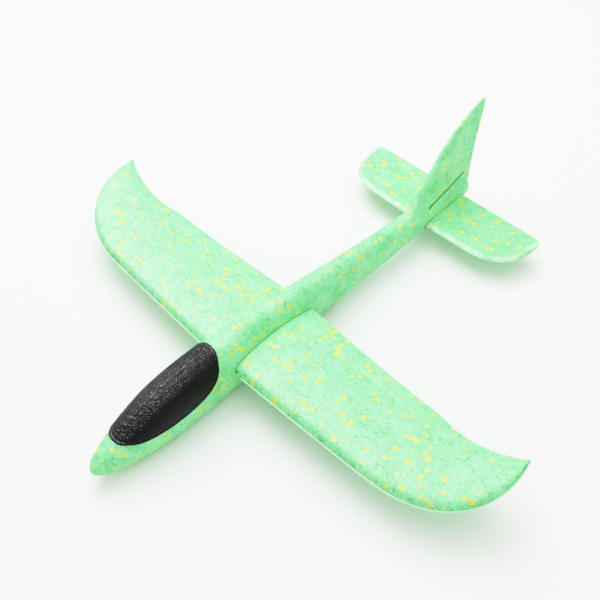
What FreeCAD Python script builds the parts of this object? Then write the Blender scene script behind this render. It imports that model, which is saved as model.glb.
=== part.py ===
import FreeCAD, Part
import math
import os

V = FreeCAD.Vector

# Frame: nose towards -Y, the pilot's left wing towards +X, up is +Z. The belly rests on Z = 0.
# All sizes are in millimetres.

# Body: one row per cross-section from nose to tail: y, half width, bottom z, top z.
NOSE_TIP = (-228.5, 17.6)
TAIL_TIP = (224.4, 20.5)
BODY = [
    (-227.9, 1.9, 14.9, 20.6),
    (-226.3, 4.1, 12.6, 23.3),
    (-223.2, 6.4, 10.4, 26.0),
    (-217.5, 9.1, 7.9, 29.4),
    (-206.0, 12.6, 4.7, 34.4),
    (-188.0, 16.0, 1.5, 42.4),
    (-163.5, 18.6, -0.4, 51.2),
    (-138.5, 19.1, -0.8, 56.2),
    (-109.0, 18.0, -0.8, 58.9),
    (-79.0, 16.5, -0.8, 59.5),
    (-49.5, 14.9, -0.5, 58.7),
    (-10.0, 12.7, 1.6, 55.8),
    (40.0, 11.1, 5.0, 49.8),
    (89.0, 10.7, 8.4, 43.7),
    (138.5, 10.2, 11.8, 39.6),
    (183.0, 9.2, 14.6, 37.6),
    (204.0, 7.4, 14.6, 37.4),
    (216.0, 5.0, 14.2, 34.4),
    (222.0, 2.6, 15.6, 28.4),
    (224.0, 1.0, 18.2, 23.6),
]
SECTION_POWER = 2.5
SECTION_POINTS = 32

# Fin: leading edge as a cubic curve in (y, z), trailing edge as points from the tip down.
FIN_EDGE = [(129.5, 38.6), (161.0, 63.1), (174.6, 111.3), (231.3, 122.4)]
FIN_REAR = [(228.6, 98.0), (222.4, 60.0), (220.6, 40.0), (216.0, 26.0)]
FIN_FOOT_Z = 26.0
# Levels of the fin's thickness: z, half thickness in front, half thickness at the rear.
FIN_LEVELS = [(24.0, 8.4, 4.6), (37.0, 5.6, 2.6), (50.0, 3.5, 1.5), (80.0, 2.7, 1.2), (126.0, 1.7, 1.0)]
FIN_TAPER_Y = (120.0, 185.0, 235.0)

# Wing: straight edges inboard, curved edges to a raked tip that turns up at the back.
HALF_SPAN = 240.0
ROOT_LEAD_Y = -95.7
ROOT_CHORD = 91.5
LEAD_SWEEP = 0.0425
TRAIL_SWEEP = -0.0455
STRAIGHT_FROM_X = 12.0
LEAD_STRAIGHT_X = 154.4
TRAIL_STRAIGHT_X = 157.4
TIP_CORNER = (237.6, -4.8)
LEAD_PULL = 70.8
LEAD_END = (10.8, -38.2)
TRAIL_PULL = 10.0
TRAIL_END = (-42.7, -17.6)
EDGE_Z = 32.2
TRAIL_LIFT = 1.0
SAG = 1.6
FLAT_ROOT_X = 20.0
TIP_RAISE = 20.0
UPPER_BUMP = 8.6
BUMP_RISE = 0.35
BUMP_FALL = 1.8
BUMP_PEAK = 0.587
LOWER_BUMP = 3.2
LEAD_HALF = 2.0
TRAIL_HALF = 1.2
WING_STATIONS = [0.0, 20.0, 55.0, 95.0, 130.0, 155.0, 175.0, 193.0, 208.0, 220.0, 231.0, 243.0]
# Beyond this station the section's ends run straight on, because the tip curves turn back there.
TIP_CLIP_X = 226.0
TIP_EASE = 0.8
CURVE_REACH = 0.75
CURVE_HALVINGS = 40
CHORD_SHARES = [0.008, 0.03, 0.07, 0.14, 0.25, 0.4, 0.55, 0.7, 0.85, 0.94]
# The section runs a little past the outline, which then trims it.
EDGE_MARGIN = 1.0
MARGIN_DROP = 1.0
MARGIN_RISE = 0.1

# Fits between the pieces.
HALVES_GAP = 0.3
SHOULDER_GAP = 0.25
SLOT_CLEAR = 0.2
TONGUE_Y = (-83.0, -16.0)
SHOULDER_Y = (-170.0, 100.0)

# Tailplane and its slots.
TAIL_LEAD_Y = 149.0
TAIL_CHORD = 56.8
TAIL_HALF_SPAN = 101.0
TAIL_SWEEP = 0.019
TAIL_STRAIGHT_X = 53.6
TAIL_PULL = 35.7
TAIL_REAR_Y = 199.3
TAIL_END_PULL = -32.6
TAIL_CORNER = (8.0, 0.3)
TAIL_Z = 23.0
TAIL_THICK = 4.6
TAIL_EDGE_R = 1.5
TAIL_NOTCH = 1.5
SLIT_FRONT = (157.0, 37.6)
SLIT_REAR = (209.5, 47.9)
SLIT_THICK = 1.2

# Canopy: its outline seen from the side, front to back, and how it sits on the body.
CANOPY_SIDE = [
    (-207.5, 38.0),
    (-204.0, 35.6),
    (-197.0, 33.7),
    (-190.0, 31.4),
    (-182.0, 29.8),
    (-171.0, 29.0),
    (-159.0, 28.9),
    (-146.5, 29.5),
    (-133.5, 31.4),
    (-122.0, 34.9),
    (-114.3, 40.4),
    (-109.0, 47.4),
    (-105.8, 54.4),
    (-100.2, 62.0),
]
CANOPY_PROUD = 0.8
CANOPY_SKIN = 3.2
GLUE_GAP = 0.1
CANOPY_REACH_Z = 75.0
CANOPY_Y = (-220.0, -70.0)

# Steel balance weight in a round pocket below the canopy.
WEIGHT_Y = -182.0
WEIGHT_BASE_Z = 30.0
WEIGHT_R = 6.0
WEIGHT_HEIGHT = 8.0
WEIGHT_CLEAR = 0.1

WIDE = 30.0
TALL = 130.0
LEVEL = 0.01


def spline(points, closed=False):
    curve = Part.BSplineCurve()
    if closed:
        curve.interpolate(Points=points, PeriodicFlag=True)
    else:
        curve.interpolate(points)
    return curve.toShape()


def bezier(points):
    curve = Part.BezierCurve()
    curve.setPoles(points)
    return curve.toShape()


def box(low, high):
    size = [b - a for a, b in zip(low, high)]
    return Part.makeBox(size[0], size[1], size[2], V(*low))


def prism(wire, reach):
    return Part.Face(wire).extrude(reach)


def mirrored(shape):
    return shape.mirror(V(0, 0, 0), V(1, 0, 0))


def curve_point(poles, t):
    weights = [(1 - t) ** 3, 3 * t * (1 - t) ** 2, 3 * t * t * (1 - t), t ** 3]
    return [sum(w * p[i] for w, p in zip(weights, poles)) for i in (0, 1)]


# ---- body ----

def body_section(y, half_width, low, high, grow):
    a = half_width + grow
    b = (high - low) / 2 + grow
    points = []
    for i in range(SECTION_POINTS):
        turn = 2 * math.pi * i / SECTION_POINTS - math.pi / 2
        c, s = math.cos(turn), math.sin(turn)
        x = a * math.copysign(abs(c) ** (2 / SECTION_POWER), c)
        z = (low + high) / 2 + b * math.copysign(abs(s) ** (2 / SECTION_POWER), s)
        points.append(V(x, y, z))
    return Part.Wire(spline(points, True))


def whole_body():
    profiles = [Part.Vertex(0, *NOSE_TIP)]
    profiles += [body_section(*row, 0) for row in BODY]
    profiles.append(Part.Vertex(0, *TAIL_TIP))
    return Part.makeLoft(profiles, True)


def body_stretch(grow, reach):
    rows = [row for row in BODY if reach[0] <= row[0] <= reach[1]]
    return Part.makeLoft([body_section(*row, grow) for row in rows], True)


def fin():
    lead = [V(-WIDE, y, z) for y, z in FIN_EDGE]
    rear = [V(-WIDE, y, z) for y, z in FIN_REAR]
    foot = [V(-WIDE, FIN_REAR[-1][0], FIN_FOOT_Z), V(-WIDE, FIN_EDGE[0][0], FIN_FOOT_Z)]
    back = spline([lead[-1]] + rear[:3])
    base = Part.makePolygon([rear[2]] + foot + [lead[0]])
    outline = Part.Wire([bezier(lead), back] + base.Edges)
    blade = prism(outline, V(2 * WIDE, 0, 0))
    levels = []
    for z, front, thin in FIN_LEVELS:
        y0, y1, y2 = FIN_TAPER_Y
        side = [(front, y0), (front, y1), (thin, y2)]
        ring = side + [(-x, y) for x, y in reversed(side)]
        points = [V(x, y, z) for x, y in ring]
        levels.append(Part.makePolygon(points + points[:1]))
    return blade.common(Part.makeLoft(levels, True))


def tail_slit():
    (y0, z0), (y1, z1) = SLIT_FRONT, SLIT_REAR
    length = math.hypot(y1 - y0, z1 - z0)
    slit = box((-WIDE, 0, -SLIT_THICK / 2), (WIDE, length, SLIT_THICK / 2))
    slit.rotate(V(0, 0, 0), V(1, 0, 0), math.degrees(math.atan2(z1 - z0, y1 - y0)))
    slit.translate(V(0, y0, z0))
    return slit


# ---- wing ----

def lead_poles():
    start = (LEAD_STRAIGHT_X, ROOT_LEAD_Y + LEAD_SWEEP * (LEAD_STRAIGHT_X - STRAIGHT_FROM_X))
    second = (start[0] + LEAD_PULL, start[1] + LEAD_SWEEP * LEAD_PULL)
    third = (TIP_CORNER[0] + LEAD_END[0], TIP_CORNER[1] + LEAD_END[1])
    return [start, second, third, TIP_CORNER]


def trail_poles():
    root = ROOT_LEAD_Y + ROOT_CHORD
    start = (TRAIL_STRAIGHT_X, root + TRAIL_SWEEP * (TRAIL_STRAIGHT_X - STRAIGHT_FROM_X))
    second = (start[0] + TRAIL_PULL, start[1] + TRAIL_SWEEP * TRAIL_PULL)
    third = (TIP_CORNER[0] + TRAIL_END[0], TIP_CORNER[1] + TRAIL_END[1])
    return [start, second, third, TIP_CORNER]


def edge_y(poles, sweep, x):
    x0, y0 = poles[0]
    if x <= x0:
        return y0 - sweep * (x0 - max(x, STRAIGHT_FROM_X))
    low, high = 0.0, CURVE_REACH
    for _ in range(CURVE_HALVINGS):
        middle = (low + high) / 2
        if curve_point(poles, middle)[0] < x:
            low = middle
        else:
            high = middle
    return curve_point(poles, low)[1]


def chord_ends(x):
    if x <= TIP_CLIP_X:
        return edge_y(lead_poles(), LEAD_SWEEP, x), edge_y(trail_poles(), TRAIL_SWEEP, x)
    lead = edge_y(lead_poles(), LEAD_SWEEP, TIP_CLIP_X)
    slope = lead - edge_y(lead_poles(), LEAD_SWEEP, TIP_CLIP_X - 1)
    trail = edge_y(trail_poles(), TRAIL_SWEEP, TIP_CLIP_X)
    rise = trail - edge_y(trail_poles(), TRAIL_SWEEP, TIP_CLIP_X - 1)
    step = x - TIP_CLIP_X
    return lead + slope * step * TIP_EASE, trail + rise * step


def base_z(x, y):
    share = min(max((y - ROOT_LEAD_Y) / ROOT_CHORD, 0), 1)
    out = max(x - FLAT_ROOT_X, 0) / (HALF_SPAN - FLAT_ROOT_X)
    lift = TIP_RAISE * share * (x / HALF_SPAN) ** 4
    return EDGE_Z + TRAIL_LIFT * share - SAG * math.sin(math.pi * min(out, 1)) + lift


def upper_shape(s):
    return s ** BUMP_RISE * (1 - s ** BUMP_FALL) / BUMP_PEAK


def wing_section(x, grow):
    lead, trail = chord_ends(x)
    size = (trail - lead) / ROOT_CHORD
    upper = [(lead - EDGE_MARGIN, LEAD_HALF - MARGIN_DROP)]
    lower = [(lead - EDGE_MARGIN, -LEAD_HALF + MARGIN_RISE)]
    for s in [0.0] + CHORD_SHARES + [1.0]:
        y = lead + s * (trail - lead)
        half = LEAD_HALF + (TRAIL_HALF - LEAD_HALF) * s
        upper.append((y, half + UPPER_BUMP * size * upper_shape(s)))
        lower.append((y, -half + LOWER_BUMP * size * 4 * s * (1 - s)))
    upper.append((trail + EDGE_MARGIN, TRAIL_HALF))
    lower.append((trail + EDGE_MARGIN, -TRAIL_HALF))
    top = [V(x, y, base_z(x, y) + z + grow) for y, z in upper]
    under = [V(x, y, base_z(x, y) + z - grow) for y, z in reversed(lower)]
    rear = Part.makeLine(top[-1], under[0])
    front = Part.makeLine(under[-1], top[0])
    return Part.Wire([spline(top), rear, spline(under), front])


def planform():
    root_x = HALVES_GAP / 2
    lead = lead_poles()
    trail = trail_poles()
    knee_lead = V(STRAIGHT_FROM_X, ROOT_LEAD_Y, 0)
    knee_trail = V(STRAIGHT_FROM_X, ROOT_LEAD_Y + ROOT_CHORD, 0)
    edges = [
        Part.makeLine(V(root_x, ROOT_LEAD_Y, 0), knee_lead),
        Part.makeLine(knee_lead, V(*lead[0], 0)),
        bezier([V(*p, 0) for p in lead]),
        bezier([V(*p, 0) for p in reversed(trail)]),
        Part.makeLine(V(*trail[0], 0), knee_trail),
        Part.makeLine(knee_trail, V(root_x, ROOT_LEAD_Y + ROOT_CHORD, 0)),
        Part.makeLine(V(root_x, ROOT_LEAD_Y + ROOT_CHORD, 0), V(root_x, ROOT_LEAD_Y, 0)),
    ]
    return prism(Part.Wire(edges), V(0, 0, TALL))


def tongue_space(grow):
    y0, y1 = TONGUE_Y
    return box((-WIDE, y0 - grow, 0), (WIDE, y1 + grow, TALL))


def wing_half():
    slab = Part.makeLoft([wing_section(x, 0) for x in WING_STATIONS], True)
    body = body_stretch(SHOULDER_GAP, SHOULDER_Y)
    return slab.common(planform()).cut(body.cut(tongue_space(0)))


def wing_socket():
    slot = prism(wing_section(0, SLOT_CLEAR), V(WIDE, 0, 0)).common(tongue_space(SLOT_CLEAR))
    return slot.fuse(mirrored(slot))


# ---- tailplane ----

def tail_side(side, z):
    tip = (TAIL_HALF_SPAN, TAIL_REAR_Y)
    lead_end = (TAIL_STRAIGHT_X, TAIL_LEAD_Y + TAIL_SWEEP * TAIL_STRAIGHT_X)
    pull = (lead_end[0] + TAIL_PULL, lead_end[1] + TAIL_SWEEP * TAIL_PULL)
    end_pull = (tip[0], tip[1] + TAIL_END_PULL)
    rear_y = TAIL_LEAD_Y + TAIL_CHORD
    inset, step = TAIL_CORNER
    curve = [V(side * x, y, z) for x, y in (lead_end, pull, end_pull, tip)]
    corner = [V(side * x, y, z) for x, y in (tip, (tip[0], rear_y - step), (tip[0] - inset, rear_y))]
    front = Part.makeLine(V(0, TAIL_LEAD_Y, z), curve[0])
    rear = Part.makeLine(corner[-1], V(0, rear_y, z))
    return [front, bezier(curve), bezier(corner), rear]


def tailplane():
    z = TAIL_Z - TAIL_THICK / 2
    edges = tail_side(1, z) + tail_side(-1, z)
    outline = Part.Wire(Part.sortEdges(edges)[0])
    plate = prism(outline, V(0, 0, TAIL_THICK))
    rim = [e for e in plate.Edges if e.BoundBox.ZMax - e.BoundBox.ZMin < LEVEL]
    return plate.makeFillet(TAIL_EDGE_R, rim)


def tail_slot():
    half = TAIL_THICK / 2 + SLOT_CLEAR
    low = (-WIDE, TAIL_LEAD_Y - TAIL_NOTCH, TAIL_Z - half)
    high = (WIDE, TAIL_LEAD_Y + TAIL_CHORD + SLOT_CLEAR, TAIL_Z + half)
    return box(low, high)


# ---- canopy, weight and fuselage ----

def canopy_space():
    rim = [V(-WIDE, y, z) for y, z in CANOPY_SIDE]
    top = [V(-WIDE, rim[-1].y, CANOPY_REACH_Z), V(-WIDE, rim[0].y, CANOPY_REACH_Z)]
    closing = Part.makePolygon([rim[-1]] + top + [rim[0]])
    return prism(Part.Wire([spline(rim)] + closing.Edges), V(2 * WIDE, 0, 0))


def canopy():
    outer = body_stretch(CANOPY_PROUD, CANOPY_Y)
    core = body_stretch(-CANOPY_SKIN, CANOPY_Y)
    return outer.common(canopy_space()).cut(core)


def weight(grow, height):
    base = V(0, WEIGHT_Y, WEIGHT_BASE_Z - grow)
    return Part.makeCylinder(WEIGHT_R + grow, height + grow, base)


def fuselage():
    core = body_stretch(-CANOPY_SKIN - GLUE_GAP, CANOPY_Y)
    shape = whole_body().fuse(fin())
    shape = shape.cut(canopy_space().cut(core))
    shape = shape.cut(weight(WEIGHT_CLEAR, TALL))
    shape = shape.cut(wing_socket())
    shape = shape.cut(tail_slot())
    shape = shape.cut(tail_slit())
    return shape.cut(box((-WIDE, -2 * TALL, -WIDE), (WIDE, 2 * TALL, 0)))


def save(name, shape):
    solid = shape.Solids[0]
    solid.exportStep("parts/" + name + ".step")
    print(name, solid.isValid(), len(shape.Solids), round(solid.Volume))


def main():
    left = wing_half()
    pieces = {
        "fuselage": fuselage(),
        "wing_left": left,
        "wing_right": mirrored(left),
        "tailplane": tailplane(),
        "canopy": canopy(),
        "nose_weight": weight(0, WEIGHT_HEIGHT),
    }
    os.makedirs("parts", exist_ok=True)
    for name, shape in pieces.items():
        save(name, shape)


main()
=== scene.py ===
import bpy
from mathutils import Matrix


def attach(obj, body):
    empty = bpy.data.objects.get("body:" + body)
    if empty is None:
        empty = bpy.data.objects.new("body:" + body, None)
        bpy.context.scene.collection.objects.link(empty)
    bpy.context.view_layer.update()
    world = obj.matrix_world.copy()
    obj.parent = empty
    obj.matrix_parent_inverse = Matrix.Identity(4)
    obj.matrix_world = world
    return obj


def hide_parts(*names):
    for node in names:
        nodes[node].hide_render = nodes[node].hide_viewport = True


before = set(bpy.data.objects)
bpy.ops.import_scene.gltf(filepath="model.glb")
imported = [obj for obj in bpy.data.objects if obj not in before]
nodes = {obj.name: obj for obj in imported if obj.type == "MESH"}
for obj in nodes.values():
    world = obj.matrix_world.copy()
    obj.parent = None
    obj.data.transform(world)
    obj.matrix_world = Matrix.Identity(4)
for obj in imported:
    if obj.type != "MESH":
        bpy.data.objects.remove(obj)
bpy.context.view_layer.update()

import math

import bpy
import numpy as np
from mathutils import Matrix, Vector

MM = 0.001
rng = np.random.default_rng(7)

# ------------------------------------------------------------------ shape data, as in part.py (mm)

BODY = [
    (-228.5, 0.0, 17.6, 17.6),
    (-227.9, 1.9, 14.9, 20.6),
    (-226.3, 4.1, 12.6, 23.3),
    (-223.2, 6.4, 10.4, 26.0),
    (-217.5, 9.1, 7.9, 29.4),
    (-206.0, 12.6, 4.7, 34.4),
    (-188.0, 16.0, 1.5, 42.4),
    (-163.5, 18.6, -0.4, 51.2),
    (-138.5, 19.1, -0.8, 56.2),
    (-109.0, 18.0, -0.8, 58.9),
    (-79.0, 16.5, -0.8, 59.5),
    (-49.5, 14.9, -0.5, 58.7),
    (-10.0, 12.7, 1.6, 55.8),
    (40.0, 11.1, 5.0, 49.8),
    (89.0, 10.7, 8.4, 43.7),
    (138.5, 10.2, 11.8, 39.6),
    (183.0, 9.2, 14.6, 37.6),
    (204.0, 7.4, 14.6, 37.4),
    (216.0, 5.0, 14.2, 34.4),
    (222.0, 2.6, 15.6, 28.4),
    (224.0, 1.0, 18.2, 23.6),
    (224.4, 0.0, 20.5, 20.5),
]
POWER = 2.5

ROOT_LEAD_Y, ROOT_CHORD = -95.7, 91.5
LEAD_SWEEP, TRAIL_SWEEP = 0.0425, -0.0455
STRAIGHT_FROM_X = 12.0
LEAD_X, TRAIL_X = 154.4, 157.4
TIP = (237.6, -4.8)
EDGE_Z, TRAIL_LIFT, SAG, FLAT_X, TIP_RAISE = 32.2, 1.0, 1.6, 20.0, 20.0
UPPER_BUMP, LOWER_BUMP, LEAD_HALF, TRAIL_HALF = 8.6, 3.2, 2.0, 1.2
BUMP_RISE, BUMP_FALL, BUMP_PEAK = 0.35, 1.8, 0.587
HALF_SPAN = 240.0
HALVES_GAP = 0.15
LEAD_PULL, LEAD_END = 70.8, (10.8, -38.2)
TRAIL_PULL, TRAIL_END = 10, (-42.7, -17.6)
TONGUE_Y = (-83.0, -16.0)

# Cutters reach this far to each side of the body, and the body's rows are this dense.
WIDE = 30.0
ROWS_PER_STEP = 9


# ------------------------------------------------------------------ mesh helpers

def make_object(name, verts, faces):
    mesh = bpy.data.meshes.new(name)
    mesh.from_pydata([tuple(v) for v in verts], [], [tuple(f) for f in faces])
    mesh.validate()
    obj = bpy.data.objects.new(name, mesh)
    bpy.context.scene.collection.objects.link(obj)
    return obj


def smooth(obj, angle=math.radians(40)):
    mesh = obj.data
    mesh.polygons.foreach_set("use_smooth", np.ones(len(mesh.polygons), bool))
    mesh.set_sharp_from_angle(angle=angle)
    mesh.update()


def grid_object(name, rows):
    """rows: (n, m, 3) in mm, each row a closed ring. Ends are capped."""
    rows = np.asarray(rows, float)
    n, m, _ = rows.shape
    verts = (rows * MM).reshape(-1, 3)
    i, j = np.meshgrid(np.arange(n - 1), np.arange(m), indexing="ij")
    k = (j + 1) % m
    quads = np.stack([i * m + j, i * m + k, (i + 1) * m + k, (i + 1) * m + j], -1)
    faces = [tuple(q) for q in quads.reshape(-1, 4).tolist()]
    faces.append(tuple(range(m - 1, -1, -1)))
    faces.append(tuple(range((n - 1) * m, n * m)))
    obj = make_object(name, verts, faces)
    fix_normals(obj)
    return obj


def swept_across(name, ring):
    """A closed outline in (y, z), carried from side to side through the whole body."""
    rows = [np.column_stack([np.full(len(ring), x), ring]) for x in (-WIDE, WIDE)]
    return grid_object(name, rows)


def fix_normals(obj):
    import bmesh
    bm = bmesh.new()
    bm.from_mesh(obj.data)
    bmesh.ops.remove_doubles(bm, verts=bm.verts, dist=1e-6)
    bmesh.ops.dissolve_degenerate(bm, edges=bm.edges, dist=1e-6)
    bmesh.ops.recalc_face_normals(bm, faces=bm.faces)
    bm.to_mesh(obj.data)
    bm.free()
    obj.data.update()


def apply_modifiers(obj):
    bpy.context.view_layer.update()
    deps = bpy.context.evaluated_depsgraph_get()
    mesh = bpy.data.meshes.new_from_object(obj.evaluated_get(deps))
    obj.modifiers.clear()
    obj.data = mesh


def boolean(obj, cutter, kind="DIFFERENCE"):
    m = obj.modifiers.new("bool", "BOOLEAN")
    m.operation = kind
    m.solver = "EXACT"
    m.object = cutter
    apply_modifiers(obj)
    bpy.data.objects.remove(cutter)


def box_object(low, high):
    x = [(low[i] * MM, high[i] * MM) for i in range(3)]
    verts = [(a, b, c) for a in x[0] for b in x[1] for c in x[2]]
    faces = [(0, 1, 3, 2), (4, 6, 7, 5), (0, 4, 5, 1), (2, 3, 7, 6), (0, 2, 6, 4), (1, 5, 7, 3)]
    obj = make_object("cutter", verts, faces)
    fix_normals(obj)
    return obj


def vertex_mm(mesh):
    co = np.zeros(len(mesh.vertices) * 3)
    mesh.vertices.foreach_get("co", co)
    return co.reshape(-1, 3) / MM


def vertex_normals(mesh):
    no = np.zeros(len(mesh.vertices) * 3)
    mesh.vertices.foreach_get("normal", no)
    return no.reshape(-1, 3)


def move_vertices(mesh, co):
    """Put the vertices at these places, in millimetres."""
    mesh.vertices.foreach_set("co", (co * MM).ravel())
    mesh.update()


def mark(mesh, name, values):
    """Store one value per vertex, for the materials to read."""
    attribute = mesh.attributes.new(name, "FLOAT", "POINT")
    attribute.data.foreach_set("value", np.asarray(values, np.float32))


def catmull(table, u):
    """Smooth rows of a table at the fractional row numbers u."""
    table = np.asarray(table, float)
    u = np.clip(np.asarray(u, float), 0, len(table) - 1 - 1e-9)
    i = u.astype(int)
    t = (u - i)[:, None]
    pick = lambda k: table[np.clip(i + k, 0, len(table) - 1)]
    p0, p1, p2, p3 = pick(-1), pick(0), pick(1), pick(2)
    y0, y1, y2, y3 = (p[:, :1] for p in (p0, p1, p2, p3))
    d = y2 - y1
    # beside the rounded tips the slope is steep, so the two ends keep their chord's slope
    m1 = np.where(i[:, None] > 0, (p2 - p0) / np.maximum(y2 - y0, 1e-6) * d, p2 - p1)
    inner = i[:, None] + 2 < len(table)
    m2 = np.where(inner, (p3 - p1) / np.maximum(y3 - y1, 1e-6) * d, p2 - p1)
    h00, h10 = 2 * t**3 - 3 * t**2 + 1, t**3 - 2 * t**2 + t
    h01, h11 = -2 * t**3 + 3 * t**2, t**3 - t**2
    return h00 * p1 + h10 * m1 + h01 * p2 + h11 * m2


def bezier(poles, t):
    poles = np.asarray(poles, float)
    t = np.asarray(t, float)[:, None]
    return ((1 - t) ** 3 * poles[0] + 3 * t * (1 - t) ** 2 * poles[1]
            + 3 * t * t * (1 - t) * poles[2] + t**3 * poles[3])


# ------------------------------------------------------------------ body and fin

def body_rows(grow, y_low, y_high, ring):
    count = (len(BODY) - 1) * ROWS_PER_STEP + 1
    u = np.linspace(0, len(BODY) - 1, count)
    # finer steps along the long, gently curved stations
    u = np.sort(np.concatenate([u, np.linspace(6, 16, 150)]))
    u = np.unique(np.round(u, 4))
    table = catmull(BODY, u)
    table = table[(table[:, 0] >= y_low) & (table[:, 0] <= y_high)]
    turn = np.linspace(0, 2 * np.pi, ring, endpoint=False) - np.pi / 2
    c, s = np.cos(turn), np.sin(turn)
    rows = []
    for y, a, low, high in table:
        a, b = max(a + grow, 0.02), max((high - low) / 2 + grow, 0.02)
        x = a * np.sign(c) * np.abs(c) ** (2 / POWER)
        z = (low + high) / 2 + b * np.sign(s) * np.abs(s) ** (2 / POWER)
        rows.append(np.column_stack([x, np.full(ring, y), z]))
    return np.array(rows)


def body_object(name, grow=0.0, y_low=-999, y_high=999, ring=72):
    return grid_object(name, body_rows(grow, y_low, y_high, ring))


FIN_EDGE = [(129.5, 38.6), (161.0, 63.1), (174.6, 111.3), (231.3, 122.4)]
FIN_REAR = [(220.6, 40.0), (222.4, 60.0), (228.6, 98.0), (231.3, 122.4)]
FIN_FOOT_Z = 26.0
FIN_FOOT_TOP_Z = 37.5
FIN_FOOT_LEAD_Y = 131.0
FIN_FOOT_REAR_Y = (216.0, 220.0)
FIN_FOOT_ROWS = 6
# Levels of the fin's thickness: z, half thickness in front, half thickness at the rear.
FIN_LEVELS = [
    (24.0, 8.4, 4.6),
    (37.0, 5.6, 2.6),
    (50.0, 3.5, 1.5),
    (80.0, 2.7, 1.2),
    (126.0, 1.7, 1.0),
]
FIN_TAPER_Y, FIN_TAPER_LENGTH = 185.0, 47.0
FIN_LEAD_ROUND = 2.4


def fin_object():
    t = np.linspace(0, 1, 110)
    lead = bezier(FIN_EDGE, t)
    rear_z = FIN_REAR[0][1] + (FIN_REAR[-1][1] - FIN_REAR[0][1]) * t
    table = np.array(FIN_REAR)
    rear = np.column_stack([np.polyval(np.polyfit(table[:, 1], table[:, 0], 3), rear_z), rear_z])
    foot = np.linspace(FIN_FOOT_Z, FIN_FOOT_TOP_Z, FIN_FOOT_ROWS)
    lead_foot = np.full(FIN_FOOT_ROWS, FIN_FOOT_LEAD_Y)
    rear_foot = np.linspace(*FIN_FOOT_REAR_Y, FIN_FOOT_ROWS)
    lead = np.vstack([np.column_stack([lead_foot, foot]), lead])
    rear = np.vstack([np.column_stack([rear_foot, foot]), rear])
    levels = np.array(FIN_LEVELS)
    rows = []
    s_side = np.concatenate([
        np.linspace(0, 0.06, 8), np.linspace(0.09, 0.93, 26), np.linspace(0.95, 1, 5)])
    for (ly, lz), (ry, rz) in zip(lead, rear):
        chord = max(math.hypot(ry - ly, rz - lz), 0.3)
        y, z = ly + s_side * (ry - ly), lz + s_side * (rz - lz)
        front = np.interp(z, levels[:, 0], levels[:, 1])
        thin = np.interp(z, levels[:, 0], levels[:, 2])
        taper = np.clip((y - FIN_TAPER_Y) / FIN_TAPER_LENGTH, 0, 1)
        half = front + (thin - front) * taper
        half = np.minimum(half, chord * 0.5)
        d0, d1 = s_side * chord, (1 - s_side) * chord
        r0 = np.minimum(np.minimum(half * 0.8, FIN_LEAD_ROUND), chord * 0.45)
        r1 = np.minimum(half * 0.8, chord * 0.45)
        round0 = np.sqrt(np.clip(1 - (1 - np.minimum(d0 / r0, 1)) ** 2, 0, 1))
        round1 = np.sqrt(np.clip(1 - (1 - np.minimum(d1 / r1, 1)) ** 2, 0, 1))
        x = half * (0.35 + 0.65 * round0) * (0.45 + 0.55 * round1)
        port = np.column_stack([x, y, z])
        star = np.column_stack([-x, y, z])[::-1]
        rows.append(np.vstack([port, star]))
    return grid_object("fin", rows)


# ------------------------------------------------------------------ wing surface

def outline_pair(count_straight, count_tip):
    """Leading and trailing edge points, side by side, from the root out to the tip corner."""
    tip = np.array(TIP)
    ly = ROOT_LEAD_Y + LEAD_SWEEP * (LEAD_X - STRAIGHT_FROM_X)
    ty = ROOT_LEAD_Y + ROOT_CHORD + TRAIL_SWEEP * (TRAIL_X - STRAIGHT_FROM_X)
    x = np.linspace(HALVES_GAP, LEAD_X, count_straight)
    tip[0] -= 0.05
    lead = np.column_stack([x, ly - LEAD_SWEEP * (LEAD_X - np.maximum(x, STRAIGHT_FROM_X))])
    xt = np.linspace(HALVES_GAP, TRAIL_X, count_straight)
    trail = np.column_stack([xt, ty - TRAIL_SWEEP * (TRAIL_X - np.maximum(xt, STRAIGHT_FROM_X))])
    t = np.linspace(0, 1, count_tip + 1)[1:]
    t_lead = 1 - (1 - t) ** 1.15
    lead_pull = (LEAD_X + LEAD_PULL, ly + LEAD_SWEEP * LEAD_PULL)
    trail_pull = (TRAIL_X + TRAIL_PULL, ty + TRAIL_SWEEP * TRAIL_PULL)
    lead_tip = bezier([(LEAD_X, ly), lead_pull, tip + LEAD_END, tip], t_lead)
    trail_tip = bezier([(TRAIL_X, ty), trail_pull, tip + TRAIL_END, tip], t)
    return np.vstack([lead, lead_tip]), np.vstack([trail, trail_tip])


def base_z(x, y):
    share = np.clip((y - ROOT_LEAD_Y) / ROOT_CHORD, 0, 1)
    out = np.clip((x - FLAT_X) / (HALF_SPAN - FLAT_X), 0, 1)
    raised = TIP_RAISE * share * (np.abs(x) / HALF_SPAN) ** 4
    return EDGE_Z + TRAIL_LIFT * share - SAG * np.sin(np.pi * out) + raised


def edge_half(s):
    return LEAD_HALF + (TRAIL_HALF - LEAD_HALF) * s


def upper_bump(s, size=1.0):
    return UPPER_BUMP * size * s**BUMP_RISE * (1 - s**BUMP_FALL) / BUMP_PEAK


def lower_bump(s, size=1.0):
    return LOWER_BUMP * size * 4 * s * (1 - s)


ROOT_GAP = 0.5
CREASE_X = (14, 168)
CREASE_Y, CREASE_SLOPE, CREASE_BEND_X = -21.6, 0.032, 40.0
CREASE_DEPTH, CREASE_RIM = 0.42, 0.12

# The leading edge's section from below to above: distance behind the edge, height.
NOSE_PROFILE = np.array([
    (1.6, -1.98), (0.6, -1.94), (0.10, -1.70), (0.0, -1.25), (0.02, -0.86), (0.12, -0.66),
    (0.50, -0.56), (0.95, -0.50), (1.06, -0.25), (0.98, 0.10), (0.96, 0.60), (1.06, 1.15),
    (1.35, 1.7)])
# Distances behind the edge where the nose runs into the upper surface.
TOP_STEPS = np.array([1.9, 2.5, 3.2, 4.0, 5.0, 6.2, 7.6])
NOSE_TOP_Z = 1.7


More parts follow.
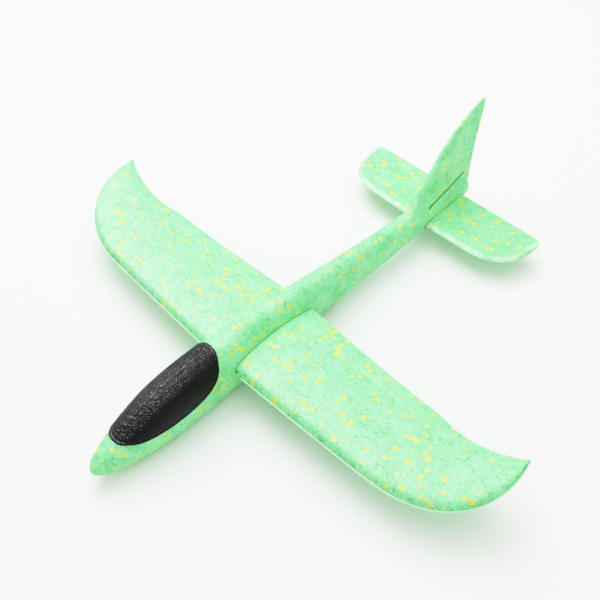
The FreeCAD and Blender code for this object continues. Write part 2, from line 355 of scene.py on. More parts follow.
def crease_y(x):
    return CREASE_Y - CREASE_SLOPE * np.maximum(x - CREASE_BEND_X, 0)


def wing_rows():
    lead, trail = outline_pair(210, 110)
    rows = []
    n = len(lead)
    wander = np.cumsum(rng.normal(0, 1, n))
    wander = (wander - np.convolve(wander, np.ones(41) / 41, "same"))
    wander /= max(np.abs(wander).max(), 1e-6)
    rough = rng.normal(0, 1, n)
    rough = np.convolve(rough, np.ones(3) / 3, "same")
    for i, ((lx, ly), (tx, ty)) in enumerate(zip(lead, trail)):
        chord = max(math.hypot(tx - lx, ty - ly), 0.6)
        size = min(chord / ROOT_CHORD, 1)
        edge = min(1.0, chord / 16.0)

        def place(s, z):
            s = np.asarray(s, float)
            x, y = lx + s * (tx - lx), ly + s * (ty - ly)
            return np.column_stack([x, y, base_z(x, y) + z])

        def top(s):
            s = np.clip(s, 0, 1)
            return edge_half(s) + upper_bump(s, size)

        nz = NOSE_PROFILE.copy()
        groove = 1 + 0.5 * wander[i] + 0.35 * rough[i]
        nz[7:12, 0] = np.clip(nz[7:12, 0] * (0.75 + 0.25 * groove), 0.5, 1.5)
        nz[3:6, 0] += 0.05 * rough[i]
        s_nose = nz[:, 0] * edge / chord
        s_top = TOP_STEPS * edge / chord
        # the nose is rounded into the upper surface over the first few millimetres
        ease = np.sqrt(np.clip(1 - (1 - np.minimum((TOP_STEPS - 1.2) / 3.4, 1)) ** 2, 0, 1))
        z_top = NOSE_TOP_Z + (top(s_top) - NOSE_TOP_Z) * ease
        cols = np.linspace(s_top[-1] + 0.012, 0.985, 54)
        s_low = np.linspace(0.985, s_nose[0] + 0.02, 34)
        # rows gather at the flap crease
        yc = crease_y(lx)
        sc = (yc - ly) / max(ty - ly, 1e-6)
        strength = 0.0
        if CREASE_X[0] < lx < CREASE_X[1]:
            k = int(np.argmin(np.abs(cols - 0.80)))
            offsets = np.array([-1.6, -0.8, -0.35, 0.0, 0.35, 0.8, 1.6]) / chord
            cols[k - 3:k + 4] = sc + offsets
            strength = np.clip((CREASE_X[1] - lx) / 30, 0, 1)
            strength *= np.clip((lx - CREASE_X[0]) / 10, 0, 1)
        z_mid = top(cols)
        if strength > 0:
            d = (cols - sc) * chord
            groove_z = CREASE_DEPTH * np.exp(-(d / 0.42) ** 2)
            rim_z = CREASE_RIM * np.exp(-((np.abs(d) - 1.1) / 0.5) ** 2)
            z_mid = z_mid - strength * (groove_z - rim_z)
        end_s = np.array([1 - 0.5 / chord * edge, 1.0, 1.0, 1 - 0.5 / chord * edge])
        end_z = np.array([0.95, 0.45, -0.45, -0.95]) * TRAIL_HALF
        end_z[0] = min(end_z[0], top(np.array([0.99]))[0])
        ring = np.vstack([
            place(s_nose, nz[:, 1]),
            place(s_top, z_top),
            place(cols, z_mid),
            place(end_s, end_z),
            place(s_low, -edge_half(s_low) + lower_bump(s_low, size)),
        ])
        rows.append(ring)
    return np.array(rows)


def nearest(points, line):
    """Plan distance from each point to a densely sampled line."""
    out = np.full(len(points), 1e9)
    for part in np.array_split(np.arange(len(points)), 40):
        d = points[part, None, :2] - line[None]
        out[part] = np.sqrt((d * d).sum(-1)).min(1)
    return out


def wing_marks(obj):
    """Store where each point lies, for the edge details of the foam and for the painted highlights
    and shade at the lip, root and crease: all in millimetres.
    """
    co = vertex_mm(obj.data)
    lead, _ = outline_pair(400, 220)
    mark(obj.data, "lead_gap", nearest(co, lead))
    mark(obj.data, "rise", co[:, 2] - base_z(co[:, 0], co[:, 1]))
    table = catmull(BODY, np.linspace(5, 14, 500))
    half = np.interp(co[:, 1], table[:, 0], table[:, 1])
    mid = np.interp(co[:, 1], table[:, 0], (table[:, 2] + table[:, 3]) / 2)
    tall = np.interp(co[:, 1], table[:, 0], (table[:, 3] - table[:, 2]) / 2)
    level = np.clip(np.abs((co[:, 2] - mid) / tall), 0, 0.999)
    mark(obj.data, "root_gap", co[:, 0] - half * (1 - level**POWER) ** (1 / POWER))
    fade = np.clip((CREASE_X[1] - co[:, 0]) / 40, 0, 1) * np.clip((co[:, 0] - 22) / 12, 0, 1)
    mark(obj.data, "crease_gap", np.abs(co[:, 1] - crease_y(co[:, 0])) + 6 * (1 - fade))


def wing_object():
    obj = grid_object("wing_left_foam", wing_rows())
    shoulder = body_object("shoulder", ROOT_GAP, -175, 110)
    boolean(shoulder, box_object((-WIDE, TONGUE_Y[0], 0), (WIDE, TONGUE_Y[1], 90)))
    boolean(obj, shoulder)
    wing_marks(obj)
    torn_corner(obj)
    return obj


def torn_corner(obj):
    """The root corner of the leading edge is a little ragged."""
    co = vertex_mm(obj.data)
    near = np.clip(1.3 - np.hypot(co[:, 0] - 18.5, co[:, 1] - ROOT_LEAD_Y - 1.0) / 5.0, 0, 1)
    for axis, seed in ((0, 31), (1, 32), (2, 33)):
        co[:, axis] += 1.7 * near * value_noise(co, 1.8, seed)
    move_vertices(obj.data, co)


def mirror_copy(obj, name):
    new = bpy.data.objects.new(name, obj.data.copy())
    bpy.context.scene.collection.objects.link(new)
    new.data.transform(Matrix.Scale(-1, 4, (1, 0, 0)))
    new.data.flip_normals()
    return new


def socket_object(clear):
    """The wing's through-slot in the body: the root section swept across it."""
    s = np.linspace(0, 1, 60)
    half = edge_half(s)
    y = ROOT_LEAD_Y + s * ROOT_CHORD
    z0 = EDGE_Z + TRAIL_LIFT * s
    top = z0 + half + upper_bump(s) + clear
    low = z0 - half + lower_bump(s) - clear
    front, rear = TONGUE_Y[0] - clear, TONGUE_Y[1] + clear
    ys = np.concatenate([[front], y[(y >= front) & (y <= rear)], [rear]])
    tops, lows = np.interp(ys, y, top), np.interp(ys, y, low)
    ring = np.vstack([np.column_stack([ys, tops]), np.column_stack([ys, lows])[::-1]])
    return swept_across("socket", ring)


# ------------------------------------------------------------------ tailplane

TAIL_RIM_Z = 22.2
TAIL_LEAD_Y, TAIL_CHORD, TAIL_HALF_SPAN = 149.0, 56.8, 101.0
TAIL_SWEEP, TAIL_STRAIGHT_X, TAIL_PULL = 0.019, 53.6, 35.7
TAIL_REAR_Y, TAIL_END_PULL = 199.3, -32.6
TAIL_CORNER = (8.0, 0.3)
TAIL_Z, TAIL_HALF_THICK = 23.0, 2.3

# The tailplane's section: distances behind the leading edge, with both surfaces' heights there.
TAIL_FRONT = np.array([0.0, 0.12, 0.5, 1.4, 2.5, 3.6, 4.3, 5.0, 6.0])
TAIL_FRONT_UP = np.array([-0.75, -0.35, -0.05, 0.55, 1.22, 1.85, 2.14, 2.26, 2.3])
TAIL_FRONT_LOW = np.array([-1.25, -1.6, -1.95, -2.2, -2.28, -2.3, -2.3, -2.3, -2.3])
# Distances ahead of the trailing edge, with the half thickness at each.
TAIL_REAR = np.array([2.2, 1.5, 0.9, 0.45, 0.12, 0.0])
TAIL_REAR_HALF = np.array([2.28, 2.2, 2.0, 1.65, 1.1, 0.4])
TAIL_MID_COUNT = 26


def tail_rows():
    xs = np.linspace(0, TAIL_STRAIGHT_X, 60)
    lead = np.column_stack([xs, TAIL_LEAD_Y + TAIL_SWEEP * xs])
    start = lead[-1]
    tip = (TAIL_HALF_SPAN, TAIL_REAR_Y)
    poles = [start, start + (TAIL_PULL, TAIL_SWEEP * TAIL_PULL),
             (TAIL_HALF_SPAN, TAIL_REAR_Y + TAIL_END_PULL), tip]
    lead = np.vstack([lead, bezier(poles, np.linspace(0, 1, 90)[1:])])
    inset, drop = TAIL_CORNER
    rear_y = TAIL_LEAD_Y + TAIL_CHORD
    t = np.linspace(0, 1, 24)[:, None]
    corner = ((1 - t) ** 2 * np.array((TAIL_HALF_SPAN - inset, rear_y))
              + 2 * t * (1 - t) * np.array((TAIL_HALF_SPAN, rear_y - drop)) + t**2 * np.array(tip))
    flat = len(lead) - 23
    straight_x = np.linspace(0, TAIL_HALF_SPAN - inset, flat)
    straight_rear = np.column_stack([straight_x, np.full(flat, rear_y)])
    trail = np.vstack([straight_rear, corner[1:]])
    middle = np.full(TAIL_MID_COUNT, TAIL_HALF_THICK)
    up = np.concatenate([TAIL_FRONT_UP, middle, TAIL_REAR_HALF])
    low = np.concatenate([TAIL_FRONT_LOW, -middle, -TAIL_REAR_HALF])
    rows = []
    for (lx, ly), (tx, ty) in zip(lead, trail):
        chord = max(math.hypot(tx - lx, ty - ly), 0.4)
        edge = min(1, chord / 12.0)
        mid = np.linspace(6.8 * edge, chord - 3.0 * edge, TAIL_MID_COUNT)
        s = np.concatenate([TAIL_FRONT * edge, mid, chord - TAIL_REAR * edge]) / chord
        x, y = lx + s * (tx - lx), ly + s * (ty - ly)
        rows.append(np.vstack([np.column_stack([x, y, TAIL_Z + up]),
                               np.column_stack([x, y, TAIL_Z + low])[::-1]]))
    rows = np.array(rows)
    mirror = rows[:0:-1].copy()
    mirror[:, :, 0] *= -1
    return np.vstack([mirror, rows])


def tail_object():
    rows = tail_rows()
    obj = grid_object("tailplane_foam", rows)
    co = vertex_mm(obj.data)
    under = np.where(co[:, 2] < TAIL_RIM_Z, 20.0, 0.0)
    mark(obj.data, "bevel_gap", nearest(co, rows[:, 0, :2]) + under)
    return obj


# ------------------------------------------------------------------ canopy

CANOPY_SIDE = [
    (-207.5, 38.0),
    (-204.0, 35.6),
    (-197.0, 33.7),
    (-190.0, 31.4),
    (-182.0, 29.8),
    (-171.0, 29.0),
    (-159.0, 28.9),
    (-146.5, 29.5),
    (-133.5, 31.4),
    (-122.0, 34.9),
    (-114.3, 40.4),
    (-109.0, 47.4),
    (-105.8, 54.4),
    (-100.2, 62.0),
]
CANOPY_REACH_Z = 75.0
CANOPY_PROUD, CANOPY_DEPTH, RECESS_DEPTH = 0.8, 3.2, 3.3
CANOPY_Y = (-222, -60)


def side_curve(count=160):
    """The canopy's lower edge seen from the side, as a smooth curve through its points."""
    p = np.array(CANOPY_SIDE)
    p = np.vstack([2 * p[0] - p[1], p, 2 * p[-1] - p[-2]])
    out = []
    per = count // (len(p) - 3)
    for i in range(1, len(p) - 2):
        t = np.linspace(0, 1, per, endpoint=False)[:, None]
        a, b, c, d = p[i - 1], p[i], p[i + 1], p[i + 2]
        out.append(0.5 * (2 * b + (c - a) * t + (2 * a - 5 * b + 4 * c - d) * t**2
                          + (3 * b - a - 3 * c + d) * t**3))
    out.append(p[-2:-1])
    return np.vstack(out)


def canopy_space():
    curve = side_curve()
    top = np.array([(curve[-1, 0], CANOPY_REACH_Z), (curve[0, 0], CANOPY_REACH_Z)])
    return swept_across("canopy_space", np.vstack([curve, top]))


def curve_distance(y, z):
    """Distance in the side view from points to the canopy's edge curve."""
    curve = side_curve(400)
    d = np.full(len(y), 1e9)
    for cy, cz in curve:
        d = np.minimum(d, np.hypot(y - cy, z - cz))
    return d


def value_noise(points, cell, seed):
    """Smooth value noise from -1 to 1 on a seeded lattice."""
    table = np.random.default_rng(seed).uniform(-1, 1, (64, 64, 64))
    p = points / cell
    i = np.floor(p).astype(int)
    f = p - i
    f = f * f * (3 - 2 * f)
    total = 0
    for a in (0, 1):
        for b in (0, 1):
            for c in (0, 1):
                w = ((f[:, 0] if a else 1 - f[:, 0]) * (f[:, 1] if b else 1 - f[:, 1])
                     * (f[:, 2] if c else 1 - f[:, 2]))
                corner = (i + (a, b, c)) % 64
                total = total + w * table[corner[:, 0], corner[:, 1], corner[:, 2]]
    return total


def canopy_object():
    obj = body_object("canopy_cap", CANOPY_PROUD, *CANOPY_Y, ring=96)
    boolean(obj, canopy_space(), "INTERSECT")
    boolean(obj, body_object("core", -CANOPY_DEPTH, *CANOPY_Y))
    m = obj.modifiers.new("remesh", "REMESH")
    m.mode = "VOXEL"
    m.voxel_size = 0.5 * MM
    m.use_smooth_shade = True
    s = obj.modifiers.new("soft", "SMOOTH")
    s.factor, s.iterations = 0.5, 5
    apply_modifiers(obj)
    co, no = vertex_mm(obj.data), vertex_normals(obj.data)
    table = catmull(BODY, np.linspace(4, 11, 400))
    a = np.interp(co[:, 1], table[:, 0], table[:, 1])
    low = np.interp(co[:, 1], table[:, 0], table[:, 2])
    high = np.interp(co[:, 1], table[:, 0], table[:, 3])
    up = (co[:, 2] - (low + high) / 2) / ((high - low) / 2)
    radius = np.abs(co[:, 0] / a) ** POWER + np.abs(up) ** POWER
    outside = np.clip((radius - 0.97) / 0.06, 0, 1)
    d = curve_distance(co[:, 1], co[:, 2])
    rim = 0.20 * np.exp(-((d - 0.9) / 0.7) ** 2) - 0.32 * np.exp(-((d - 2.4) / 0.6) ** 2)
    grain = 0.10 * value_noise(co * (1, 0.7, 1), 1.3, 3) + 0.08 * value_noise(co, 0.8, 5)
    across = np.exp(-(co[:, 0] / 7.0) ** 2)
    wrinkle = 0.26 * value_noise(co * (0.30, 1.0, 0.30), 1.6, 9) * (0.2 + 0.8 * across)
    crest = 0.75 * np.exp(-(co[:, 0] / 2.2) ** 2)
    shoulder = 0.45 * np.exp(-((np.abs(co[:, 0]) - 8.5) / 3.5) ** 2)
    ridge = (crest - shoulder) * (co[:, 2] > (low + high) / 2)
    inside = np.clip((d - 3.0) / 1.5, 0, 1)
    move = (rim + (grain + wrinkle) * inside + ridge * np.clip(d / 8.0, 0, 1)) * outside
    move_vertices(obj.data, co + no * move[:, None])
    return obj


# ------------------------------------------------------------------ fuselage

SLIT = [(157.0, 37.6), (209.5, 47.9)]
SLIT_HALF = 0.8
SLOT_Y, SLOT_HALF = (147.5, 206.0), 2.5
SOCKET_CLEAR = 0.2
POCKET_RADIUS, POCKET_Y, POCKET_BASE_Z, POCKET_TOP_Z = 6.1, -182.0, 29.9, 80.0


def slit_object():
    (y0, z0), (y1, z1) = SLIT
    length = math.hypot(y1 - y0, z1 - z0)
    obj = box_object((-WIDE, 0, -SLIT_HALF), (WIDE, length, SLIT_HALF))
    turn = Matrix.Rotation(math.atan2(z1 - z0, y1 - y0), 4, "X")
    obj.data.transform(Matrix.Translation((0, y0 * MM, z0 * MM)) @ turn)
    return obj


def cylinder_object(radius, y, z0, z1, steps=64):
    turn = np.linspace(0, 2 * np.pi, steps, endpoint=False)
    circle = np.column_stack([radius * np.cos(turn), y + radius * np.sin(turn)])
    return grid_object("round", [np.column_stack([circle, np.full(steps, z)]) for z in (z0, z1)])


def weld_fin(obj):
    """Turn body and fin into one moulded skin, with a soft fillet where they meet."""
    m = obj.modifiers.new("remesh", "REMESH")
    m.mode = "VOXEL"
    m.voxel_size = 0.8 * MM
    m.use_smooth_shade = True
    even = obj.modifiers.new("even", "SMOOTH")
    even.factor, even.iterations = 0.5, 3
    apply_modifiers(obj)
    co = vertex_mm(obj.data)
    table = catmull(BODY, np.linspace(9, 21, 300))
    top = np.interp(co[:, 1], table[:, 0], table[:, 3])
    weight = np.clip(1.15 - np.abs(co[:, 2] - top - 1.0) / 9.0, 0, 1)
    weight *= np.clip((co[:, 1] - 120) / 10, 0, 1) * np.clip((229 - co[:, 1]) / 6, 0, 1)
    group = obj.vertex_groups.new(name="fillet")
    for k in np.nonzero(weight > 0.01)[0].tolist():
        group.add([k], float(weight[k]), "REPLACE")
    soft = obj.modifiers.new("fillet", "SMOOTH")
    soft.factor, soft.iterations = 0.5, 45
    soft.vertex_group = "fillet"
    apply_modifiers(obj)
    obj.vertex_groups.clear()
    uneven(obj, 0.07)


def uneven(obj, amount):
    """A very slight waviness, as moulded foam has."""
    co = vertex_mm(obj.data)
    wave = amount * value_noise(co, 7.0, 21) + amount * 0.6 * value_noise(co, 3.0, 22)
    move_vertices(obj.data, co + vertex_normals(obj.data) * wave[:, None])


def fuselage_object():
    obj = body_object("fuselage_foam", ring=88)
    boolean(obj, fin_object(), "UNION")
    weld_fin(obj)
    space = canopy_space()
    boolean(space, body_object("core", -RECESS_DEPTH, *CANOPY_Y))
    boolean(obj, space)
    boolean(obj, cylinder_object(POCKET_RADIUS, POCKET_Y, POCKET_BASE_Z, POCKET_TOP_Z))
    boolean(obj, socket_object(SOCKET_CLEAR))
    boolean(obj, box_object((-WIDE, SLOT_Y[0], TAIL_Z - SLOT_HALF),
                            (WIDE, SLOT_Y[1], TAIL_Z + SLOT_HALF)))
    boolean(obj, slit_object())
    boolean(obj, box_object((-40, -260, -30), (40, 260, 0)))
    cut_marks(obj)
    return obj


def cut_marks(obj):
    """Store how far each point lies from the slit and from the tailplane's slot, in millimetres."""
    co = vertex_mm(obj.data)[:, 1:]
    start, end = (np.array(p) for p in SLIT)
    along = end - start
    share = np.clip((co - start) @ along / (along @ along), 0, 1)
    slit = np.hypot(*(co - start - share[:, None] * along).T) - SLIT_HALF
    middle, reach = (SLOT_Y[0] + SLOT_Y[1]) / 2, (SLOT_Y[1] - SLOT_Y[0]) / 2
    slot = np.hypot(*np.maximum(np.abs(co - (middle, TAIL_Z)) - (reach, SLOT_HALF), 0).T)
    mark(obj.data, "cut_gap", np.minimum(slit, slot))


# ------------------------------------------------------------------ materials

MINT_LIGHT = (0.290, 0.880, 0.375)
MINT_DEEP = (0.185, 0.785, 0.265)
MINT_PALE = (0.430, 0.930, 0.500)
MINT_DARK = (0.130, 0.660, 0.200)
# dark seam green: the foam's own bead seams, and also painted shade along the cuts and the wing
# root
SEAM_AND_SHADE = (0.045, 0.420, 0.110)
POOL = (0.055, 0.590, 0.150)
YELLOW = (0.66, 0.72, 0.060)
ORANGE = (0.86, 0.50, 0.030)
YELLOW_PALE = (0.76, 0.76, 0.16)
FLASH = (0.045, 0.430, 0.130)
# painted highlight on lit edges: the tail bevel, the wing's lower lip and the flap crease
PAINTED_HIGHLIGHT_MINT = (0.520, 0.940, 0.560)


class Nodes:
    """A small helper that makes and links shader nodes."""

    def __init__(self, name):
        self.mat = bpy.data.materials.new(name)
        self.mat.use_nodes = True
        self.tree = self.mat.node_tree
        self.tree.nodes.clear()
        self.out = self.add("ShaderNodeOutputMaterial")
        self.shader = self.add("ShaderNodeBsdfPrincipled")
        self.link(self.shader.outputs[0], self.out.inputs[0])
        self.coords = self.add("ShaderNodeTexCoord").outputs["Object"]

    def add(self, kind, **props):
        node = self.tree.nodes.new(kind)
        for key, value in props.items():
            setattr(node, key, value)
        return node

    def link(self, a, b):
        self.tree.links.new(a, b)

    def put(self, socket, value):
        if isinstance(value, bpy.types.NodeSocket):
            self.link(value, socket)
        else:
            socket.default_value = value

    def math(self, op, a, b=0.0, c=0.0, clamp=False):
        node = self.add("ShaderNodeMath", operation=op, use_clamp=clamp)
        for socket, value in zip(node.inputs, (a, b, c)):
            self.put(socket, value)
        return node.outputs[0]

    def times(self, a, b):
        return self.math("MULTIPLY", a, b)

    def vmath(self, op, a, b=(0, 0, 0), scale=None):
        node = self.add("ShaderNodeVectorMath", operation=op)
        self.put(node.inputs[0], a)
        if scale is None:
            self.put(node.inputs[1], b)
        else:
            self.put(node.inputs["Scale"], scale)
        return node.outputs[0]

    def noise(self, co, scale, detail=2.0, rough=0.5):
        node = self.add("ShaderNodeTexNoise")
        self.put(node.inputs["Vector"], co)
        node.inputs["Scale"].default_value = scale
        node.inputs["Detail"].default_value = detail
        node.inputs["Roughness"].default_value = rough
        return node

    def voronoi(self, co, scale, feature="F1", rand=1.0):
        node = self.add("ShaderNodeTexVoronoi", feature=feature)
        self.put(node.inputs["Vector"], co)
        node.inputs["Scale"].default_value = scale
        node.inputs["Randomness"].default_value = rand
        return node

    def ramp(self, value, low, high):
        node = self.add("ShaderNodeMapRange", interpolation_type="SMOOTHSTEP")
        self.put(node.inputs["Value"], value)
        node.inputs["From Min"].default_value = low
        node.inputs["From Max"].default_value = high
        return node.outputs[0]

    def fall(self, value, low, high):
        return self.math("SUBTRACT", 1.0, self.ramp(value, low, high))

    def stored(self, name):
        return self.add("ShaderNodeAttribute", attribute_name=name).outputs["Fac"]

    def mix(self, factor, a, b):
        node = self.add("ShaderNodeMix", data_type="RGBA")
        self.put(node.inputs[0], factor)
        for socket, value in ((node.inputs[6], a), (node.inputs[7], b)):
            self.put(socket, value if isinstance(value, bpy.types.NodeSocket) else (*value, 1.0))
        return node.outputs[2]

    def bump(self, height, strength, distance, normal=None):
        node = self.add("ShaderNodeBump")
        node.inputs["Strength"].default_value = strength
        node.inputs["Distance"].default_value = distance
        self.put(node.inputs["Height"], height)
        if normal is not None:
            self.link(normal, node.inputs["Normal"])
        return node.outputs[0]


def foam_material(name, details=None, flat=1.0, offset=(0, 0, 0), yellow_share=0.19, mottle=0.12):
    """Moulded bead foam: mint beads, scattered yellow beads, fine dark seams between some beads."""
    n = Nodes(name)
    co = n.vmath("ADD", n.vmath("MULTIPLY", n.coords, (1.0, 1.0, flat)), offset)
    warp = n.noise(co, 330.0, 1.0)
    centred = n.vmath("SUBTRACT", warp.outputs["Color"], (0.5, 0.5, 0.5))
    shift = n.vmath("SCALE", centred, scale=0.0018)
    wco = n.vmath("ADD", co, shift)

    beads = n.voronoi(wco, 270.0)
    seams = n.voronoi(wco, 270.0, "DISTANCE_TO_EDGE")
    split = n.add("ShaderNodeSeparateColor")
    n.link(beads.outputs["Color"], split.inputs[0])
    broad = n.noise(co, 42.0, 2.0, 0.5).outputs["Fac"]
    cloud = n.noise(co, 150.0, 3.0, 0.6).outputs["Fac"]
    grit = n.noise(co, 620.0, 2.0, 0.6).outputs["Fac"]
    grain = n.noise(co, 1500.0, 2.0, 0.6).outputs["Fac"]

    # bead colour: an even mint with faint clouds, and each bead a little different
    blend = n.times(n.ramp(broad, 0.34, 0.68), 0.40)
    blend = n.math("ADD", blend, n.times(n.ramp(cloud, 0.36, 0.66), 0.36))
    blend = n.math("ADD", blend, n.times(split.outputs[1], 0.26), clamp=True)
    color = n.mix(blend, MINT_LIGHT, MINT_DEEP)
    pool = n.ramp(n.noise(co, 48.0, 2.0, 0.6).outputs["Fac"], 0.46, 0.64)
    color = n.mix(n.times(pool, mottle), color, POOL)
    color = n.mix(n.times(n.ramp(grit, 0.54, 0.66), 0.55), color, MINT_PALE)
    color = n.mix(n.times(n.ramp(grain, 0.54, 0.68), 0.55), color, MINT_DARK)

    # short dark seams, seen only in patches
    patch = n.ramp(n.noise(co, 210.0, 2.0).outputs["Fac"], 0.46, 0.62)
    line = n.fall(seams.outputs["Distance"], 0.015, 0.075)
    broken = n.ramp(n.noise(co, 700.0, 1.0).outputs["Fac"], 0.42, 0.58)
    dark = n.times(n.times(line, patch), n.times(broken, 0.80))
    specks = n.times(n.ramp(n.noise(co, 760.0, 2.0).outputs["Fac"], 0.57, 0.66), patch)
    dark = n.math("ADD", dark, n.times(specks, 0.90), clamp=True)
    color = n.mix(dark, color, SEAM_AND_SHADE)

    # yellow beads, single or run together
    ybeads = n.voronoi(wco, 205.0, rand=0.95)
    ysplit = n.add("ShaderNodeSeparateColor")
    n.link(ybeads.outputs["Color"], ysplit.inputs[0])
    gather = n.times(n.math("SUBTRACT", n.noise(co, 75.0, 1.0).outputs["Fac"], 0.5), 0.55)
    chosen = n.math("GREATER_THAN", n.math("ADD", ysplit.outputs[0], gather), 1.0 - yellow_share)
    disc = n.fall(ybeads.outputs["Distance"], 0.26, 0.58)
    yellow = n.times(n.times(chosen, disc), 0.96)
    core = n.fall(ybeads.outputs["Distance"], 0.10, 0.40)
    warm = n.times(core, n.ramp(ysplit.outputs[2], 0.15, 0.95))
    ycolor = n.mix(warm, YELLOW, ORANGE)
    ycolor = n.mix(n.times(n.ramp(grit, 0.50, 0.70), 0.45), ycolor, YELLOW_PALE)
    color = n.mix(yellow, color, ycolor)

    seam_height = n.ramp(seams.outputs["Distance"], 0.0, 0.20)
    if details:
        color = details(n, co, color)
    n.link(color, n.shader.inputs["Base Color"])
    n.link(n.math("ADD", 0.46, n.times(cloud, 0.26)), n.shader.inputs["Roughness"])
    n.shader.inputs["Specular IOR Level"].default_value = 0.40
    n.shader.inputs["Subsurface Weight"].default_value = 0.10
    n.shader.inputs["Subsurface Radius"].default_value = (0.5, 1.0, 0.6)
    n.shader.inputs["Subsurface Scale"].default_value = 0.002

    normal = n.bump(seam_height, 0.30, 0.0003)
    normal = n.bump(grit, 0.30, 0.0005, normal)
    normal = n.bump(cloud, 0.15, 0.0012, normal)
    n.link(normal, n.shader.inputs["Normal"])
    return n.mat


def painted_cut_shade(n, co, color):
    """The fuselage's slit and slot read as dark green lines: painted shade along their edges."""
    gap = n.stored("cut_gap")
    # painted shade: seam green laid within a millimetre of the slit and slot edges
    return n.mix(n.times(n.fall(gap, 0.1, 0.9), 0.85), color, SEAM_AND_SHADE)


def painted_bevel_highlight(n, co, color):
    """The tailplane's leading edge has a paler bevel: a painted highlight."""
    gap = n.stored("bevel_gap")
    cloud = n.ramp(n.noise(co, 120.0, 2.0).outputs["Fac"], 0.25, 0.60)
    # painted highlight: a paler mint in patches along the bevel
    pale = n.times(n.fall(gap, 3.0, 4.8), n.times(cloud, 0.75))
    return n.mix(pale, color, PAINTED_HIGHLIGHT_MINT)


def edge_marks_and_painted_light(n, co, color):
    """The wing's leading edge: a pale lip with a painted highlight, a ragged dark band above it,
    painted shade along the root seam, and a painted highlight along the flap crease.
    """
    lead = n.stored("lead_gap")
    rise = n.stored("rise")
    crease = n.stored("crease_gap")
    ragged = n.noise(co, 330.0, 3.0, 0.7).outputs["Fac"]
    patchy = n.noise(co, 60.0, 2.0, 0.5).outputs["Fac"]
    reach = n.times(n.ramp(ragged, 0.40, 0.66), 1.9)
    reach = n.math("ADD", reach, n.times(n.ramp(patchy, 0.42, 0.62), 1.3))
    band = n.math("SUBTRACT", 1.0, n.ramp(n.math("SUBTRACT", lead, reach), -1.2, 0.8))
    above = n.ramp(rise, -0.50, -0.30)
    fleck = n.ramp(n.noise(co, 900.0, 1.0).outputs["Fac"], 0.42, 0.60)
    band = n.times(n.times(band, above), n.math("ADD", 0.34, n.times(fleck, 0.52)))
    color = n.mix(band, color, FLASH)
    # painted highlight along the lower lip of the leading edge
    lip = n.times(n.math("SUBTRACT", 1.0, above), n.fall(lead, 0.9, 1.6))
    color = n.mix(n.times(lip, 0.80), color, PAINTED_HIGHLIGHT_MINT)
    # painted shade in the gap where the wing root meets the body
    root = n.stored("root_gap")
    color = n.mix(n.times(n.fall(root, 0.55, 1.1), 0.75), color, SEAM_AND_SHADE)
    # painted highlight along the flap crease
    crease_highlight = n.fall(crease, 0.20, 0.80)
    faint = n.ramp(n.noise(co, 45.0, 2.0).outputs["Fac"], 0.35, 0.62)
    return n.mix(n.times(crease_highlight, n.times(faint, 0.30)), color, PAINTED_HIGHLIGHT_MINT)


def canopy_material():
    n = Nodes("canopy_black")
    co = n.coords
    stretch = n.vmath("MULTIPLY", co, (1.0, 0.8, 1.0))
    cells = n.voronoi(stretch, 700.0, "DISTANCE_TO_EDGE")
    fine = n.noise(co, 1800.0, 3.0, 0.6).outputs["Fac"]
    broad = n.noise(co, 60.0, 2.0).outputs["Fac"]
    middle = n.ramp(cells.outputs["Distance"], 0.0, 0.25)
    base = n.mix(middle, (0.001, 0.001, 0.001), (0.003, 0.0025, 0.003))
    base = n.mix(n.times(n.ramp(broad, 0.4, 0.7), 0.4), base, (0.004, 0.003, 0.0035))
    n.link(base, n.shader.inputs["Base Color"])
    rough = n.math("ADD", 0.22, n.times(fine, 0.14))
    n.link(rough, n.shader.inputs["Roughness"])
    n.shader.inputs["Specular IOR Level"].default_value = 0.13
    normal = n.bump(n.ramp(cells.outputs["Distance"], 0.0, 0.3), 0.55, 0.0003)
    normal = n.bump(fine, 0.25, 0.0002, normal)
    n.link(normal, n.shader.inputs["Normal"])
    return n.mat


def steel_material():
    n = Nodes("weight_steel")
    turned = n.noise(n.vmath("MULTIPLY", n.coords, (200.0, 200.0, 6000.0)), 1.0, 2.0).outputs["Fac"]
    n.link(n.mix(turned, (0.42, 0.42, 0.43), (0.60, 0.60, 0.61)), n.shader.inputs["Base Color"])
    n.shader.inputs["Metallic"].default_value = 1.0
    n.link(n.math("ADD", 0.28, n.times(turned, 0.2)), n.shader.inputs["Roughness"])
    n.link(n.bump(turned, 0.15, 0.0001), n.shader.inputs["Normal"])
    return n.mat


# ------------------------------------------------------------------ build

foam_body = foam_material("foam_body", painted_cut_shade, mottle=0.50)
foam_wing = foam_material("foam_wing", edge_marks_and_painted_light, flat=0.3, offset=(0.3, 0.1, 0.2))
foam_tail = foam_material("foam_tail", painted_bevel_highlight, mottle=0.25, flat=0.3, offset=(0.7, 0.4, 0.1))

fuselage = fuselage_object()
fuselage.data.materials.clear()
fuselage.data.materials.append(foam_body)
smooth(fuselage)
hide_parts("fuselage")
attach(fuselage, "airframe")

left = wing_object()
right = mirror_copy(left, "wing_right_foam")
for obj, node, body, slot in ((left, "wing_left", "left_half_wing", "foam_wing_left"),
                              (right, "wing_right", "right_half_wing", "foam_wing_right")):
    obj.data.materials.clear()
    obj.data.materials.append(foam_wing)
    smooth(obj)
    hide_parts(node)
    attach(obj, body)

tail = tail_object()
tail.data.materials.append(foam_tail)
smooth(tail)
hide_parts("tailplane")
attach(tail, "tail")

canopy = canopy_object()
canopy.data.materials.clear()
canopy.data.materials.append(canopy_material())
smooth(canopy, math.radians(60))
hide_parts("canopy")
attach(canopy, "airframe")

nodes["nose_weight"].data.materials.clear()
nodes["nose_weight"].data.materials.append(steel_material())

# ------------------------------------------------------------------ floor, lights, camera

# A hair below the part, so that the two never share a plane.
FLOOR_Z = -0.0002
WORLD_LIGHT = 0.93


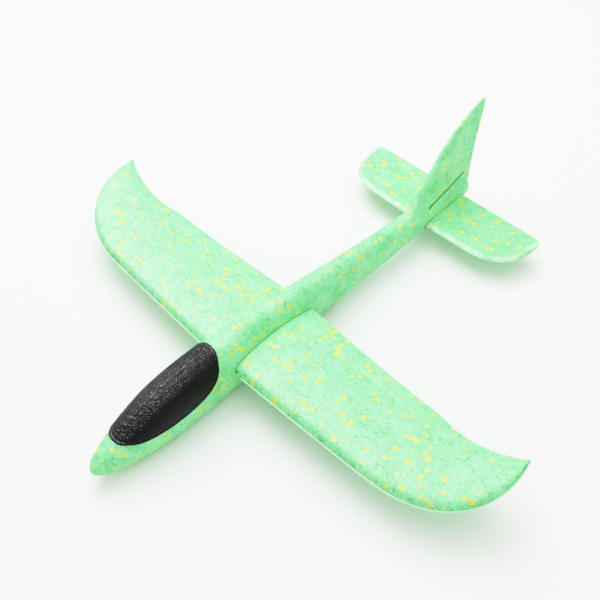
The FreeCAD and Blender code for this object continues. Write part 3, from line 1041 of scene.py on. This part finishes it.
def stage_floor():
    corners = [(x, y, FLOOR_Z) for x, y in ((-6, -6), (6, -6), (6, 6), (-6, 6))]
    floor = make_object("floor", corners, [(0, 1, 2, 3)])
    n = Nodes("floor_white")
    noise = n.noise(n.coords, 3.0, 2.0).outputs["Fac"]
    n.link(n.mix(noise, (0.90, 0.90, 0.895), (0.92, 0.92, 0.915)), n.shader.inputs["Base Color"])
    n.shader.inputs["Roughness"].default_value = 0.8
    n.shader.inputs["Specular IOR Level"].default_value = 0.1
    floor.data.materials.append(n.mat)


def area_light(name, place, target, size, power):
    data = bpy.data.lights.new(name, "AREA")
    data.shape = "RECTANGLE"
    data.size, data.size_y = size
    data.energy = power
    obj = bpy.data.objects.new(name, data)
    obj.location = place
    obj.rotation_euler = (Vector(target) - Vector(place)).to_track_quat("-Z", "Y").to_euler()
    bpy.context.scene.collection.objects.link(obj)
    return obj


stage_floor()
world = bpy.data.worlds.new("studio")
world.use_nodes = True
world.node_tree.nodes["Background"].inputs[0].default_value = (1.0, 1.0, 1.0, 1)
world.node_tree.nodes["Background"].inputs[1].default_value = WORLD_LIGHT
bpy.context.scene.world = world
area_light("key_left", (-0.60, 0.35, 1.20), (0, 0, 0), (1.0, 1.0), 11.0)
area_light("overhead", (-0.1, 0.2, 1.4), (0, 0, 0), (1.6, 1.6), 11.0)
strip = area_light("strip_left", (-0.80, -0.25, 1.30), (0, -0.15, 0.06), (0.06, 1.2), 85.0)
strip.visible_diffuse = False  # it only draws the highlight along the canopy

CAM_POS = (0.36280, -0.32689, 0.59523)
CAM_AZ, CAM_EL, CAM_ROLL, CAM_LENS = 48.488, 49.1144, -2.988, 51.547


def photo_camera():
    az, el, roll = (math.radians(v) for v in (CAM_AZ, CAM_EL, CAM_ROLL))
    d = Vector((-math.sin(az) * math.cos(el), math.cos(az) * math.cos(el), -math.sin(el)))
    right = Vector((math.cos(az), math.sin(az), 0))
    up = right.cross(d)
    r = right * math.cos(roll) + up * math.sin(roll)
    u = up * math.cos(roll) - right * math.sin(roll)
    data = bpy.data.cameras.new("camera")
    data.lens, data.sensor_width = CAM_LENS, 36.0
    data.clip_start, data.clip_end = 0.01, 50
    cam = bpy.data.objects.new("camera", data)
    cam.matrix_world = Matrix.Translation(CAM_POS) @ Matrix((r, u, -d)).transposed().to_4x4()
    bpy.context.scene.collection.objects.link(cam)
    bpy.context.scene.camera = cam


photo_camera()
view = bpy.context.scene.view_settings
view.view_transform = "Standard"
view.look = "None"
view.exposure, view.gamma = 0.0, 1.0
# a soft shoulder, as in a bright studio exposure: highlights ease into white
view.use_curve_mapping = True
curve = view.curve_mapping
curve.white_level = (2.4, 2.4, 2.4)
tone = curve.curves[3]
for x, y in ((0.094, 0.225), (0.1875, 0.44), (0.346, 0.72), (0.458, 0.84), (0.6375, 0.94),
             (0.833, 0.985)):
    tone.points.new(x, y)
curve.update()
